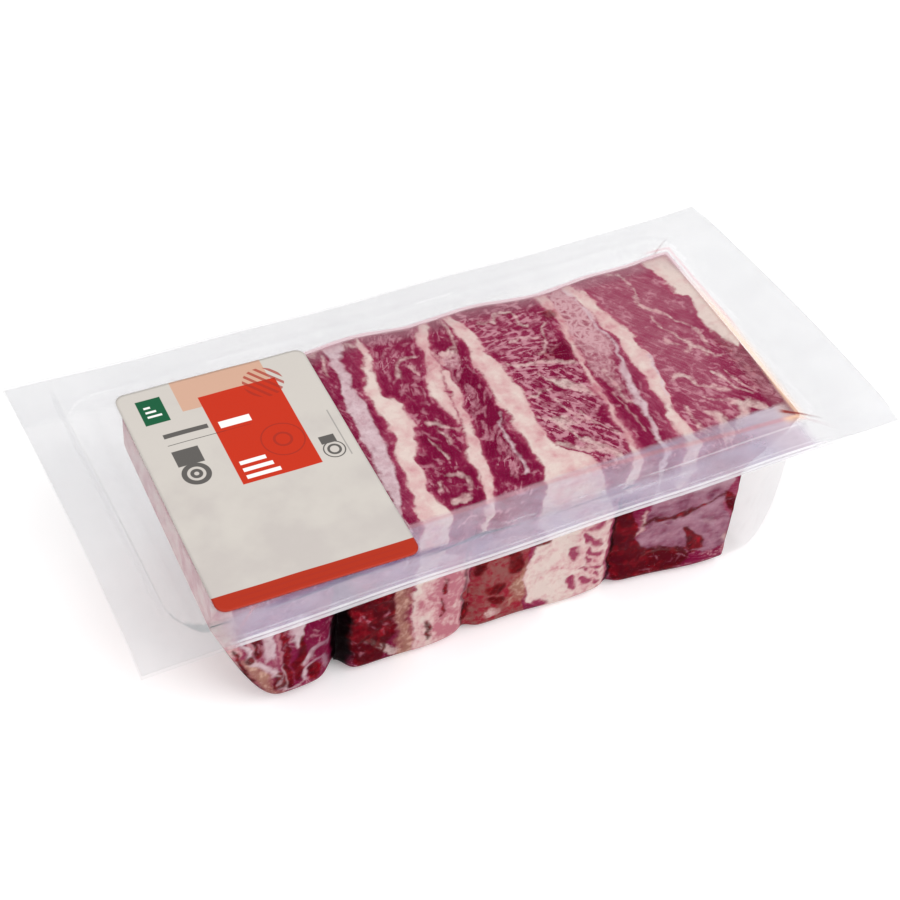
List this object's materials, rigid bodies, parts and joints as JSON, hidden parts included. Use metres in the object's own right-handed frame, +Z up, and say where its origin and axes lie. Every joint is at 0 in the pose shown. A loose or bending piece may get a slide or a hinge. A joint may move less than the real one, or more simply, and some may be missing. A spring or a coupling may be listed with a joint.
{
  "type": "vacuum-packed raw beef short ribs",
  "caption": "Clear vacuum pack of raw beef short ribs: a flat lid film with a label over a deep formed pocket drawn tight round the ribs.",
  "frame": {"origin": "on the table, under the middle of the pack's bounding box", "axes": "+Z up, +X along the pack from the label end to the last rib, +Y from the front to the back of the lid film"},
  "size_m": [0.306, 0.143, 0.0785],
  "materials": {
    "film": "clear, slightly milky plastic film",
    "meat": "wet raw beef with fat and bone, under tight film",
    "label_print": "satin printed label"
  },
  "bodies": {
    "root": {"lid_film": "film", "pocket_rib_1": "meat", "pocket_rib_2": "meat", "pocket_rib_3": "meat", "pocket_rib_4": "meat", "pocket_end": "film", "label": "label_print"}
  },
  "joints": []
}
